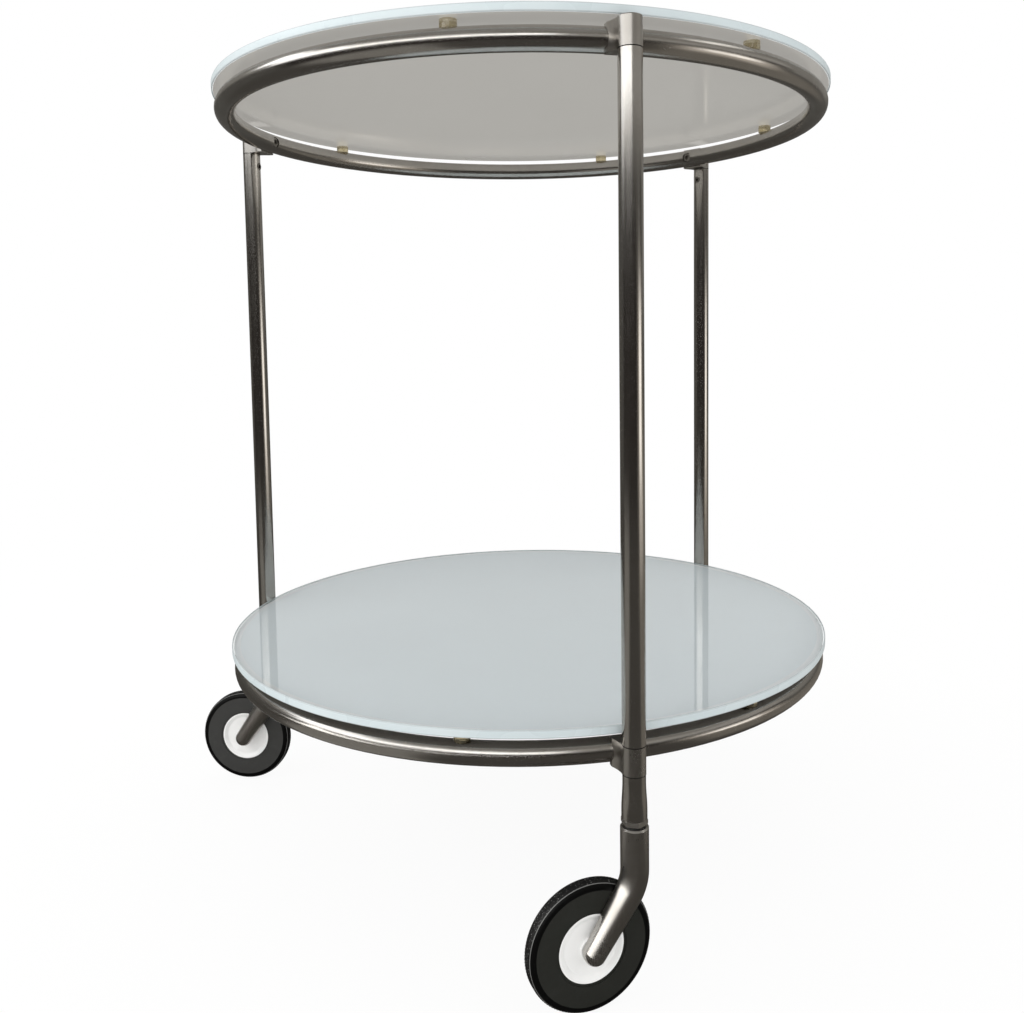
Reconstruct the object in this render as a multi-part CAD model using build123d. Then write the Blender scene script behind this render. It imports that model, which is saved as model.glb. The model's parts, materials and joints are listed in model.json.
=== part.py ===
from math import cos, degrees, atan2, hypot, radians, sin, sqrt, tan
import os

from build123d import *

# Frame: millimetres, +Z up, origin on the floor under the axis of the rings.
# The front leg stands on -Y. Leg and pad directions are counted from -Y towards +X.

# glass shelves
glass_diameter = 500.0
glass_thickness = 6.0
glass_arris = 0.8

# rings and their pads
ring_inset = 1.5
ring_tube_diameter = 16.0
ring_tube_wall = 1.4
ring_spacing = 442.0
pad_diameter = 11.0
pad_gap = 5.0
pad_inset = 1.5
pad_skirt = 0.8
pad_peg_diameter = 5.0
pad_peg_length = 3.5
pad_offset_angle = 25.0

# legs and connectors
leg_diameter = 15.2
leg_wall = 1.3
leg_edge = 0.4
leg_glass_gap = 1.0
connector_height = 18.5
connector_edge = 0.8
wing_half_width = 10.4
wing_overhang = 2.0
flare_start = 1.0
flare_depth = 11.0
spigot_length = 22.0
insert_length = 24.0

# screws
ring_screw_diameter = 5.0
ring_screw_head_diameter = 8.0
ring_screw_head_sink = 1.2
ring_screw_key = 4.0
ring_screw_key_depth = 2.0
ring_screw_reach = 4.6
access_hole_diameter = 9.0
set_screw_diameter = 6.0
set_screw_length = 6.0
set_screw_key = 3.0
set_screw_key_depth = 2.5
set_screw_drop = 11.5

# stem under each leg
stem_diameter = 8.0
stem_thread_length = 16.0
sleeve_length = 28.6
sleeve_top_diameter = 14.8
sleeve_foot_diameter = 16.4
sleeve_straight = 5.0
sleeve_edge = 0.4
collar_across_flats = 15.0
collar_height = 3.4
collar_edge = 0.5
neck_height = 1.6
pivot_diameter = 8.0
clip_thickness = 1.0
clip_groove_depth = 0.8
clip_diameter = 11.2

# caster arm
trail = 28.2
arm_height = 77.1
arm_top_diameter = 18.2
arm_tip_diameter = 15.0
arm_dome_height = 6.0
arm_bend_radius = 27.0
arm_corner_drop = 36.8
arm_rim_edge = 1.0
arm_flat_depth = 3.2
bush_diameter = 12.0
bush_length = 17.0
bush_flange_diameter = 13.6
bush_flange_height = 1.2
clip_room = 4.0

# wheel
wheel_diameter = 85.0
wheel_width = 11.0
tyre_shoulder_height = 5.0
tyre_shoulder_width = 3.0
tyre_shoulder_bulge_height = 1.0
tyre_step_width = 1.8
tyre_step_depth = 0.5
hub_diameter = 44.6
hub_rib_height = 3.0
hub_rib_half_width = 3.0
hub_lip = 0.4
hub_dish_depth = 1.6
hub_dish_slope = 3.0
hub_lip_width = 1.2
hub_boss_diameter = 15.0
hub_boss_proud = 0.4
axle_diameter = 6.0
axle_seat_depth = 6.5
axle_tail = 2.2
cap_diameter = 12.0
cap_height = 3.2
cap_edge = 0.8

# clearances
fit_gap = 0.05
running_gap = 0.05
moving_gap = 0.3
wheel_side_gap = 0.7
wheel_relief_gap = 2.5
hole_gap = 0.2

# leg directions, and headings of the casters' trails from +X, in degrees
front_leg_angle = 0.0
right_leg_angle = 120.0
left_leg_angle = 240.0
front_caster_angle = 186.6
right_caster_angle = 171.0
left_caster_angle = 159.0
corners = [
    ("front", front_leg_angle, front_caster_angle),
    ("right", right_leg_angle, right_caster_angle),
    ("left", left_leg_angle, left_caster_angle),
]

# derived sizes
glass_radius = glass_diameter / 2
ring_tube_radius = ring_tube_diameter / 2
ring_bore_radius = ring_tube_radius - ring_tube_wall
ring_radius = glass_radius - ring_inset - ring_tube_radius
pad_reach = ring_radius - pad_inset
leg_radius = leg_diameter / 2
leg_bore_radius = leg_radius - leg_wall
leg_reach = glass_radius + leg_glass_gap + leg_radius
wheel_radius = wheel_diameter / 2
stem_hole_radius = stem_diameter / 2 + hole_gap

# heights above the floor
hub_z = wheel_radius
arm_top_z = hub_z + arm_height
collar_foot_z = arm_top_z + neck_height
collar_top_z = collar_foot_z + collar_height
sleeve_foot_z = collar_top_z
sleeve_top_z = sleeve_foot_z + sleeve_length
lower_ring_z = sleeve_top_z + connector_height / 2
top_ring_z = lower_ring_z + ring_spacing
leg_foot_z = lower_ring_z + connector_height / 2
leg_top_z = top_ring_z - connector_height / 2
set_screw_z = leg_top_z - set_screw_drop
arm_corner_z = arm_top_z - arm_corner_drop

# caster offsets sideways from the swivel axis, the wheel being on the negative side
arm_flat_y = -arm_flat_depth
wheel_face_y = arm_flat_y - wheel_side_gap
wheel_mid_y = wheel_face_y - wheel_width / 2

# direction of the rings' surface seam, midway between two legs
seam_direction = (front_leg_angle + right_leg_angle) / 2

os.makedirs("parts", exist_ok=True)

base = (Align.CENTER, Align.CENTER, Align.MIN)


def save(name, solids):
    pieces = solids if isinstance(solids, list) else [solids]
    shape = pieces[0] if len(pieces) == 1 else Compound(children=pieces)
    shape.label = name
    export_step(shape, f"parts/{name}.step")


def turned(profile):
    # Solid of revolution about Z from (radius, height) corners.
    points = [Vector(r, 0, z) for r, z in profile]
    return revolve(make_face(Polyline(*points, close=True)), Axis.Z)


def rod(radius, start, end):
    # Round bar between two points.
    line = Vector(*end) - Vector(*start)
    return Plane(origin=start, z_dir=line) * Cylinder(radius, line.length, align=base)


def hex_bar(across_flats, start, end):
    line = Vector(*end) - Vector(*start)
    outline = RegularPolygon(across_flats / 2, 6, major_radius=False)
    return Plane(origin=start, z_dir=line) * extrude(outline, line.length)


def to_leg(direction):
    # Shapes for a leg are drawn with the leg on +X.
    return Rot(0, 0, direction - 90)


def glass_disc(foot_z):
    disc = Pos(0, 0, foot_z) * Cylinder(glass_radius, glass_thickness, align=base)
    return chamfer(disc.edges(), glass_arris)


def bent_tube(ring_z, outer_radius):
    # The section is turned so that no hole lies on a seam of the surface.
    section = Plane(origin=(ring_radius, 0, ring_z), x_dir=(1, 0, 1), z_dir=(0, -1, 0))
    return to_leg(seam_direction) * revolve(section * Circle(outer_radius), Axis.Z)


def ring_tube(ring_z):
    access = rod(
        access_hole_diameter / 2,
        (ring_radius - ring_tube_diameter, 0, ring_z),
        (ring_radius, 0, ring_z),
    )
    shank_hole = rod(
        ring_screw_diameter / 2 + hole_gap,
        (ring_radius, 0, ring_z),
        (ring_radius + ring_tube_diameter, 0, ring_z),
    )
    peg_hole = rod(
        pad_peg_diameter / 2 + fit_gap,
        (pad_reach, 0, ring_z),
        (pad_reach, 0, ring_z + ring_tube_diameter),
    )
    holes = []
    for _, direction, _ in corners:
        holes.append(to_leg(direction) * access)
        holes.append(to_leg(direction) * shank_hole)
        for side in (-1, 1):
            holes.append(to_leg(direction + side * pad_offset_angle) * peg_hole)
    ring = bent_tube(ring_z, ring_tube_radius) - bent_tube(ring_z, ring_bore_radius)
    return (ring - holes).solid()


def pads(ring_z):
    top_z = ring_z + ring_tube_radius + pad_gap
    foot_z = ring_z + ring_tube_radius - pad_skirt
    body = rod(pad_diameter / 2, (pad_reach, 0, foot_z), (pad_reach, 0, top_z))
    body -= bent_tube(ring_z, ring_tube_radius + fit_gap)
    peg_top_z = ring_z + ring_tube_radius + pad_gap / 2
    peg_foot_z = ring_z + ring_tube_radius - pad_peg_length
    body += rod(pad_peg_diameter / 2, (pad_reach, 0, peg_foot_z), (pad_reach, 0, peg_top_z))
    pad = body.solid()
    return [
        to_leg(direction + side * pad_offset_angle) * pad
        for _, direction, _ in corners
        for side in (-1, 1)
    ]


def ring_screws(ring_z):
    # The long head seats against the tube's outer wall and ends just inside the access hole.
    head_radius = ring_screw_head_diameter / 2
    seat = ring_radius + sqrt(ring_bore_radius**2 - head_radius**2) - fit_gap
    head_end = ring_radius - ring_tube_radius + ring_screw_head_sink
    tip = ring_radius + ring_tube_radius + ring_screw_reach
    screw = rod(head_radius, (head_end, 0, ring_z), (seat, 0, ring_z))
    screw += rod(ring_screw_diameter / 2, (seat, 0, ring_z), (tip, 0, ring_z))
    screw -= hex_bar(
        ring_screw_key,
        (head_end - fit_gap, 0, ring_z),
        (head_end + ring_screw_key_depth, 0, ring_z),
    )
    return [to_leg(direction) * screw for _, direction, _ in corners]


def connector_block(ring_z):
    # Plan outline: leg circle, then concave flares to two wings that hug the ring.
    wing_x = ring_radius + wing_overhang
    flare_x = leg_reach - flare_start
    tip_x = flare_x - flare_depth
    spread = wing_half_width - leg_radius
    flare_radius = (spread**2 + flare_depth**2) / (2 * spread)
    half_turn = atan2(flare_depth, flare_radius - spread) / 2
    mid_x = flare_x - flare_radius * sin(half_turn)
    mid_y = leg_radius + flare_radius * (1 - cos(half_turn))
    outline = [
        ThreePointArc((flare_x, leg_radius), (mid_x, mid_y), (tip_x, wing_half_width)),
        Line((tip_x, wing_half_width), (wing_x, wing_half_width)),
        Line((wing_x, wing_half_width), (wing_x, -wing_half_width)),
        Line((wing_x, -wing_half_width), (tip_x, -wing_half_width)),
        ThreePointArc((tip_x, -wing_half_width), (mid_x, -mid_y), (flare_x, -leg_radius)),
        Line((flare_x, -leg_radius), (leg_reach, -leg_radius)),
        ThreePointArc((leg_reach, -leg_radius), (leg_reach + leg_radius, 0), (leg_reach, leg_radius)),
        Line((leg_reach, leg_radius), (flare_x, leg_radius)),
    ]
    block = extrude(make_face(outline), connector_height)
    block = Pos(0, 0, ring_z - connector_height / 2) * block
    block -= bent_tube(ring_z, ring_tube_radius + fit_gap)
    thread_end = ring_radius + ring_tube_radius + ring_screw_reach + fit_gap
    block -= rod(ring_screw_diameter / 2 + fit_gap, (ring_radius, 0, ring_z), (thread_end, 0, ring_z))
    return block


def top_connector():
    block = connector_block(top_ring_z)
    top_edges = block.faces().sort_by(Axis.Z)[-1].outer_wire().edges()
    rounded = [e for e in top_edges if e.center().X > ring_radius + wing_overhang + connector_edge]
    block = fillet(rounded, connector_edge)
    spigot = rod(
        leg_bore_radius - fit_gap,
        (leg_reach, 0, leg_top_z - spigot_length),
        (leg_reach, 0, leg_top_z + connector_edge),
    )
    spigot = chamfer(spigot.edges().sort_by(Axis.Z)[0], connector_edge)
    block += spigot
    set_screw_end = leg_reach - leg_radius + set_screw_length + fit_gap
    block -= rod(
        set_screw_diameter / 2 + fit_gap,
        (leg_reach - leg_diameter, 0, set_screw_z),
        (set_screw_end, 0, set_screw_z),
    )
    return block.solid()


def lower_connector():
    block = connector_block(lower_ring_z)
    bore = Pos(leg_reach, 0, lower_ring_z) * Cylinder(stem_hole_radius, 2 * connector_height)
    return (block - bore).solid()


def leg_tube():
    length = leg_top_z - leg_foot_z
    bar = Cylinder(leg_radius, length, align=base)
    bar = chamfer(bar.edges().filter_by(GeomType.CIRCLE), leg_edge)
    tube = Pos(leg_reach, 0, leg_foot_z) * (bar - Cylinder(leg_bore_radius, length, align=base))
    tube -= rod(
        set_screw_diameter / 2 + hole_gap,
        (leg_reach - leg_diameter, 0, set_screw_z),
        (leg_reach, 0, set_screw_z),
    )
    return tube.solid()


def set_screw():
    start = leg_reach - leg_radius + fit_gap
    screw = rod(
        set_screw_diameter / 2,
        (start, 0, set_screw_z),
        (start + set_screw_length - fit_gap, 0, set_screw_z),
    )
    screw -= hex_bar(
        set_screw_key,
        (start - fit_gap, 0, set_screw_z),
        (start + set_screw_key_depth, 0, set_screw_z),
    )
    return screw.solid()


def leg_insert():
    plug = Cylinder(leg_bore_radius - fit_gap, insert_length, align=base)
    plug -= Cylinder(stem_diameter / 2 + fit_gap, insert_length, align=base)
    return Pos(leg_reach, 0, leg_foot_z) * plug


def stem_sleeve():
    # Straight at both ends, with a smooth swell between.
    top_radius = sleeve_top_diameter / 2
    foot_radius = sleeve_foot_diameter / 2
    swell_top = sleeve_length - sleeve_straight
    swell = Spline(
        (foot_radius, 0, sleeve_straight),
        (top_radius, 0, swell_top),
        tangents=[(0, 0, 1), (0, 0, 1)],
    )
    bottom = Polyline(
        (foot_radius, 0, sleeve_straight),
        (foot_radius, 0, sleeve_edge),
        (foot_radius - sleeve_edge, 0, 0),
        (stem_hole_radius, 0, 0),
        (stem_hole_radius, 0, sleeve_length),
        (top_radius - sleeve_edge, 0, sleeve_length),
        (top_radius, 0, sleeve_length - sleeve_edge),
        (top_radius, 0, swell_top),
    )
    sleeve = revolve(make_face([swell, *bottom.edges()]), Axis.Z)
    return Pos(leg_reach, 0, sleeve_foot_z) * sleeve


def stem_bolt():
    # Thread up into the leg, hexagon collar, and the pin that the arm turns on.
    shank_radius = stem_diameter / 2
    pivot_radius = pivot_diameter / 2
    collar_radius = collar_across_flats / sqrt(3)
    bush_foot_z = arm_top_z - bush_length
    clip_top_z = bush_foot_z - moving_gap
    clip_foot_z = clip_top_z - clip_thickness
    groove_radius = pivot_radius - clip_groove_depth
    pin_foot_z = clip_foot_z - clip_thickness
    bolt = turned(
        [
            (0, pin_foot_z),
            (pivot_radius, pin_foot_z),
            (pivot_radius, clip_foot_z),
            (groove_radius, clip_foot_z),
            (groove_radius, clip_top_z),
            (pivot_radius, clip_top_z),
            (pivot_radius, collar_foot_z),
            (shank_radius, collar_top_z),
            (shank_radius, leg_foot_z + stem_thread_length),
            (0, leg_foot_z + stem_thread_length),
        ]
    )
    # The turned blank takes the corners off the hexagon at both ends.
    blank = turned(
        [
            (0, collar_foot_z),
            (collar_radius - collar_edge, collar_foot_z),
            (collar_radius, collar_foot_z + collar_edge),
            (collar_radius, collar_top_z - collar_edge),
            (collar_radius - collar_edge, collar_top_z),
            (0, collar_top_z),
        ]
    )
    collar = blank & hex_bar(collar_across_flats, (0, 0, collar_foot_z), (0, 0, collar_top_z))
    return Pos(leg_reach, 0, 0) * (bolt + collar).solid()


def swivel_clip():
    clip_top_z = arm_top_z - bush_length - moving_gap
    groove_radius = pivot_diameter / 2 - clip_groove_depth
    ring = Cylinder(clip_diameter / 2, clip_thickness) - Cylinder(groove_radius, clip_thickness)
    return Pos(leg_reach, 0, clip_top_z - clip_thickness / 2) * ring


def caster_arm():
    # Drawn with the swivel axis on Z and the wheel trailing towards +X.
    top_radius = arm_top_diameter / 2
    tip_radius = arm_tip_diameter / 2
    run = trail
    drop = arm_corner_z - hub_z
    slope = atan2(run, drop)
    tangent = arm_bend_radius * tan(slope / 2)
    bend_z = arm_corner_z + tangent
    shaft = rod(top_radius, (0, 0, bend_z), (0, 0, arm_top_z))
    shaft = chamfer(shaft.edges().sort_by(Axis.Z)[-1], arm_rim_edge)
    section = Plane(origin=(0, 0, bend_z), z_dir=(0, 0, -1)) * Circle(top_radius)
    bend_axis = Axis((arm_bend_radius, 0, bend_z), (0, -1, 0))
    bend = revolve(section, bend_axis, degrees(slope))
    length = hypot(run, drop) - tangent
    dome_radius = (tip_radius**2 + arm_dome_height**2) / (2 * arm_dome_height)
    dome_half = dome_radius - arm_dome_height
    crease = length + tip_radius - arm_dome_height
    top = length + tip_radius
    half_angle = atan2(tip_radius, dome_half) / 2
    dome_mid = (dome_radius * sin(half_angle), crease - dome_half + dome_radius * cos(half_angle))
    outline = [
        Line((0, 0, 0), (top_radius, 0, 0)),
        Line((top_radius, 0, 0), (tip_radius, 0, crease)),
        ThreePointArc((tip_radius, 0, crease), (dome_mid[0], 0, dome_mid[1]), (0, 0, top)),
        Line((0, 0, top), (0, 0, 0)),
    ]
    limb = revolve(make_face(outline), Axis.Z)
    limb_start = (tangent * sin(slope), 0, arm_corner_z - tangent * cos(slope))
    limb = Plane(origin=limb_start, x_dir=(0, 1, 0), z_dir=(sin(slope), 0, -cos(slope))) * limb
    arm = shaft + bend + limb
    # socket for the bush and room for the clip
    socket_depth = bush_length + clip_room
    arm -= rod(bush_diameter / 2, (0, 0, arm_top_z - socket_depth), (0, 0, arm_top_z))
    # relief beside the wheel, and the blind hole for the axle
    arm -= rod(
        wheel_radius + wheel_relief_gap,
        (trail, arm_flat_y - arm_top_diameter, hub_z),
        (trail, arm_flat_y, hub_z),
    )
    arm -= rod(
        axle_diameter / 2 + fit_gap,
        (trail, arm_flat_y, hub_z),
        (trail, arm_flat_y + axle_seat_depth, hub_z),
    )
    return arm.solid()


def swivel_bush():
    bore_radius = pivot_diameter / 2 + running_gap
    body_radius = bush_diameter / 2 - fit_gap
    return turned(
        [
            (bore_radius, arm_top_z - bush_length),
            (body_radius, arm_top_z - bush_length),
            (body_radius, arm_top_z),
            (bush_flange_diameter / 2, arm_top_z),
            (bush_flange_diameter / 2, arm_top_z + bush_flange_height),
            (bore_radius, arm_top_z + bush_flange_height),
        ]
    )


def on_axle(shape):
    # Wheel pieces are drawn about Z with the wheel's middle at the origin and the arm on +Z.
    return Plane(origin=(trail, wheel_mid_y, hub_z), x_dir=(1, 0, 0), z_dir=(0, 1, 0)) * shape


def mirrored_profile(half):
    # Closes a profile that is the same on both sides of the wheel's middle.
    return half + [(r, -z) for r, z in reversed(half)]


def wheel_hub():
    rim = hub_diameter / 2
    lip_z = wheel_width / 2 - hub_lip
    boss_z = wheel_width / 2 + hub_boss_proud
    dish_z = lip_z - hub_dish_depth
    boss = hub_boss_diameter / 2
    return turned(
        mirrored_profile(
            [
                (axle_diameter / 2 + running_gap, boss_z),
                (boss, boss_z),
                (boss, dish_z),
                (rim - hub_lip_width - hub_dish_slope, dish_z),
                (rim - hub_lip_width, lip_z),
                (rim, lip_z),
                (rim, hub_rib_half_width),
                (rim + hub_rib_height, hub_rib_half_width),
            ]
        )
    )


def tyre():
    # Flat sidewalls, then bulged shoulders up to a flat tread.
    seat = hub_diameter / 2 + fit_gap
    half_width = wheel_width / 2
    step = seat + tyre_step_width
    groove_z = hub_rib_half_width + fit_gap
    flat_radius = wheel_radius - tyre_shoulder_height
    tread_z = half_width - tyre_shoulder_width
    slant = hypot(tyre_shoulder_height, tyre_shoulder_width)
    bulge_r = wheel_radius - tyre_shoulder_height / 2 + tyre_shoulder_bulge_height * tyre_shoulder_width / slant
    bulge_z = half_width - tyre_shoulder_width / 2 + tyre_shoulder_bulge_height * tyre_shoulder_height / slant
    inner = [
        (flat_radius, half_width),
        (step, half_width),
        (step, half_width - tyre_step_depth),
        (seat, half_width - tyre_step_depth),
        (seat, groove_z),
        (seat + hub_rib_height, groove_z),
    ]
    points = mirrored_profile(inner)
    outline = [
        *Polyline(*[(r, 0, z) for r, z in points]).edges(),
        ThreePointArc((flat_radius, 0, half_width), (bulge_r, 0, bulge_z), (wheel_radius, 0, tread_z)),
        Line((wheel_radius, 0, tread_z), (wheel_radius, 0, -tread_z)),
        ThreePointArc((flat_radius, 0, -half_width), (bulge_r, 0, -bulge_z), (wheel_radius, 0, -tread_z)),
    ]
    return revolve(make_face(outline), Axis.Z)


def axle():
    # From the blind seat in the arm, through the hub, to the tail that takes the cap.
    seat_end = arm_flat_y + axle_seat_depth - fit_gap
    tail_end = wheel_mid_y - wheel_width / 2 - hub_boss_proud - moving_gap - axle_tail
    return rod(axle_diameter / 2, (trail, tail_end, hub_z), (trail, seat_end, hub_z))


def axle_cap():
    inner = wheel_width / 2 + hub_boss_proud + moving_gap
    cap = Cylinder(cap_diameter / 2, cap_height, align=base)
    cap = chamfer(cap.edges().sort_by(Axis.Z)[-1], cap_edge)
    cap -= Cylinder(axle_diameter / 2 + fit_gap, axle_tail + fit_gap, align=base)
    return on_axle(Plane(origin=(0, 0, -inner), z_dir=(0, 0, -1)) * cap)


save("top_glass", glass_disc(top_ring_z + ring_tube_radius + pad_gap))
save("lower_glass", glass_disc(lower_ring_z + ring_tube_radius + pad_gap))
save("top_ring", ring_tube(top_ring_z))
save("lower_ring", ring_tube(lower_ring_z))
save("top_pads", pads(top_ring_z))
save("lower_pads", pads(lower_ring_z))
save("top_ring_screws", ring_screws(top_ring_z))
save("lower_ring_screws", ring_screws(lower_ring_z))
save("leg_set_screws", [to_leg(direction) * set_screw() for _, direction, _ in corners])
save("swivel_clips", [to_leg(direction) * swivel_clip() for _, direction, _ in corners])

leg_pieces = {
    "leg": leg_tube(),
    "top_connector": top_connector(),
    "lower_connector": lower_connector(),
    "leg_insert": leg_insert(),
    "stem_sleeve": stem_sleeve(),
    "stem_bolt": stem_bolt(),
}
caster_pieces = {
    "caster_arm": caster_arm(),
    "swivel_bush": swivel_bush(),
    "axle": axle(),
    "axle_cap": axle_cap(),
    "wheel_hub": on_axle(wheel_hub()),
    "tyre": on_axle(tyre()),
}
for corner, direction, heading in corners:
    leg_x = leg_reach * sin(radians(direction))
    leg_y = -leg_reach * cos(radians(direction))
    for name, shape in leg_pieces.items():
        save(f"{corner}_{name}", to_leg(direction) * shape)
    for name, shape in caster_pieces.items():
        save(f"{corner}_{name}", Pos(leg_x, leg_y, 0) * Rot(0, 0, heading) * shape)
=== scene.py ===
import json
import math

import bpy
from mathutils import Matrix, Vector


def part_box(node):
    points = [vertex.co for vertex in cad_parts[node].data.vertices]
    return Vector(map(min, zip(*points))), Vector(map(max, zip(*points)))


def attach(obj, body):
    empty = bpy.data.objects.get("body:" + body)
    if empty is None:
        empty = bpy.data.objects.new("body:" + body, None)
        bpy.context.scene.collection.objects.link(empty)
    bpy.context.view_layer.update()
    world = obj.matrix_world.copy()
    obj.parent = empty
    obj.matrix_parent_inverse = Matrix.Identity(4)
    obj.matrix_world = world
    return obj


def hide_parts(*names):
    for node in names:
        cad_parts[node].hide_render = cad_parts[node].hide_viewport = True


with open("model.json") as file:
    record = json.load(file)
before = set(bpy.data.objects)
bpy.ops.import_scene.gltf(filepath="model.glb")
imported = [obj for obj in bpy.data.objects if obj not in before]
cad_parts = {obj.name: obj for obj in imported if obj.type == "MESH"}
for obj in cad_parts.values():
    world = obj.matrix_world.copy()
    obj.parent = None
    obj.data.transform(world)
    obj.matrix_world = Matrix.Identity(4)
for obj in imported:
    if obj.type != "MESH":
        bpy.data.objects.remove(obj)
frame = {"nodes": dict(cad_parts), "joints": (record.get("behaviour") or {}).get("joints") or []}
nodes = frame["nodes"]
joints = {joint["name"]: joint for joint in frame["joints"]}
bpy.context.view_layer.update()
corners = ("front", "right", "left")
mm = 0.001
print("frame loaded:", len(nodes), "nodes")


def feed(tree, node, key, value):
    # a socket is linked, a plain value is set
    if isinstance(value, bpy.types.NodeSocket):
        tree.links.new(value, node.inputs[key])
    else:
        node.inputs[key].default_value = value


def put(tree, kind, sockets=None, **settings):
    node = tree.nodes.new("ShaderNode" + kind)
    for key, value in settings.items():
        setattr(node, key, value)
    for key, value in (sockets or {}).items():
        feed(tree, node, key, value)
    return node


def calc(tree, operation, *values, clamp=False):
    return put(tree, "Math", dict(enumerate(values)), operation=operation, use_clamp=clamp).outputs[0]


def blendColour(tree, factor, first, second):
    # the colour sockets of a Mix node are the ones numbered 6 and 7
    node = put(tree, "Mix", data_type="RGBA")
    for index, value in ((0, factor), (6, first), (7, second)):
        feed(tree, node, index, value)
    return node.outputs[2]


def ramp(tree, value, low, high, outLow=0.0, outHigh=1.0):
    sockets = {0: value, 1: low, 2: high, 3: outLow, 4: outHigh}
    return put(tree, "MapRange", sockets, interpolation_type="SMOOTHSTEP").outputs[0]


def noise(tree, where, scale, detail, roughness=0.5, distortion=0.0):
    sockets = {"Vector": where, "Scale": scale, "Detail": detail}
    sockets |= {"Roughness": roughness, "Distortion": distortion}
    return put(tree, "TexNoise", sockets).outputs


def stretch(tree, vector, factors):
    return put(tree, "VectorMath", {0: vector, 1: factors}, operation="MULTIPLY").outputs[0]


def lengthOf(tree, vector):
    return put(tree, "VectorMath", {0: vector}, operation="LENGTH").outputs["Value"]


def newGroup(name, inputs, outputs):
    tree = bpy.data.node_groups.new(name, "ShaderNodeTree")
    for label, kind, value in inputs:
        socket = tree.interface.new_socket(label, in_out="INPUT", socket_type="NodeSocket" + kind)
        socket.default_value = value
    for label, kind in outputs:
        tree.interface.new_socket(label, in_out="OUTPUT", socket_type="NodeSocket" + kind)
    return tree, tree.nodes.new("NodeGroupInput").outputs, tree.nodes.new("NodeGroupOutput").inputs


def place(tree, group, **sockets):
    node = tree.nodes.new("ShaderNodeGroup")
    node.node_tree = group
    for key, value in sockets.items():
        feed(tree, node, key, value)
    return node.outputs


grainLook = {"detail": 5.0, "roughness": 0.65, "middle": 0.5}


def makePolishLines():
    # fine lines left by the polishing belt, stretched along one direction
    tree, given, out = newGroup(
        "polishLines",
        [("Vector", "Vector", (0, 0, 0)), ("Stretch", "Vector", (1, 1, 1)), ("Contrast", "Float", 1.0)],
        [("Lines", "Float")],
    )
    stretched = stretch(tree, given["Vector"], given["Stretch"])
    fine = noise(tree, stretched, 1.0, grainLook["detail"], grainLook["roughness"])[0]
    centred = calc(tree, "SUBTRACT", fine, grainLook["middle"])
    scaled = calc(tree, "MULTIPLY", centred, given["Contrast"])
    tree.links.new(calc(tree, "ADD", scaled, grainLook["middle"], clamp=True), out["Lines"])
    return tree


markLook = {
    "cloudDetail": 6.0, "cloudRoughness": 0.6, "cloudSwirl": 0.8,
    "smearStart": 0.8, "smearFade": 0.25,
    "bendScale": 9.0, "bendDetail": 1.0,
    "scratchStretch": (900.0, 25.0, 60.0), "scratchDetail": 2.0, "scratchFrom": (0.70, 0.76),
}


def makeHandMarks():
    # cloudy finger smears and a few hairline scratches
    tree, given, out = newGroup(
        "handMarks",
        [("Vector", "Vector", (0, 0, 0)), ("Size", "Float", 20.0), ("Reach", "Float", 0.5)],
        [("Smear", "Float"), ("Hairline", "Float")],
    )
    look, where = markLook, given["Vector"]
    cloud = noise(tree, where, given["Size"], look["cloudDetail"], look["cloudRoughness"],
                  look["cloudSwirl"])[0]
    start = calc(tree, "SUBTRACT", 1.0, given["Reach"])
    smearFrom = calc(tree, "MULTIPLY", start, look["smearStart"])
    smearTo = calc(tree, "ADD", start, look["smearFade"])
    bent = noise(tree, where, look["bendScale"], look["bendDetail"])[1]
    turned = put(tree, "VectorRotate", {"Vector": where, "Rotation": bent},
                 rotation_type="EULER_XYZ").outputs[0]
    drawn = stretch(tree, turned, look["scratchStretch"])
    streak = noise(tree, drawn, 1.0, look["scratchDetail"])[0]
    tree.links.new(ramp(tree, cloud, smearFrom, smearTo), out["Smear"])
    tree.links.new(ramp(tree, streak, *look["scratchFrom"]), out["Hairline"])
    return tree


dustLook = {
    "facing": (-0.1, 0.9),        # upward part of the normal, from bare to dusty
    "patchScale": 45.0, "patchDetail": 4.0, "patchFrom": (0.35, 0.7),
    "speckDetail": 3.0, "speckFrom": (0.42, 0.62),
}


def makeSettledDust():
    # thin dust on faces that look upwards, broken up by noise
    tree, given, out = newGroup(
        "settledDust",
        [("Vector", "Vector", (0, 0, 0)), ("Grain", "Float", 300.0), ("Amount", "Float", 0.3)],
        [("Dust", "Float")],
    )
    look, where = dustLook, given["Vector"]
    normal = put(tree, "NewGeometry").outputs["Normal"]
    upward = put(tree, "SeparateXYZ", {0: normal}).outputs["Z"]
    facing = ramp(tree, upward, *look["facing"])
    patch = noise(tree, where, look["patchScale"], look["patchDetail"])[0]
    speck = noise(tree, where, given["Grain"], look["speckDetail"])[0]
    cover = calc(tree, "MULTIPLY", ramp(tree, patch, *look["patchFrom"]),
                 ramp(tree, speck, *look["speckFrom"]))
    total = calc(tree, "MULTIPLY", calc(tree, "MULTIPLY", cover, facing), given["Amount"], clamp=True)
    tree.links.new(total, out["Dust"])
    return tree


skinLook = {"waveDetail": 2.0, "poreDetail": 3.0, "waveShare": 0.8, "poreShare": 0.2, "tone": (0.3, 0.7)}


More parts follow.
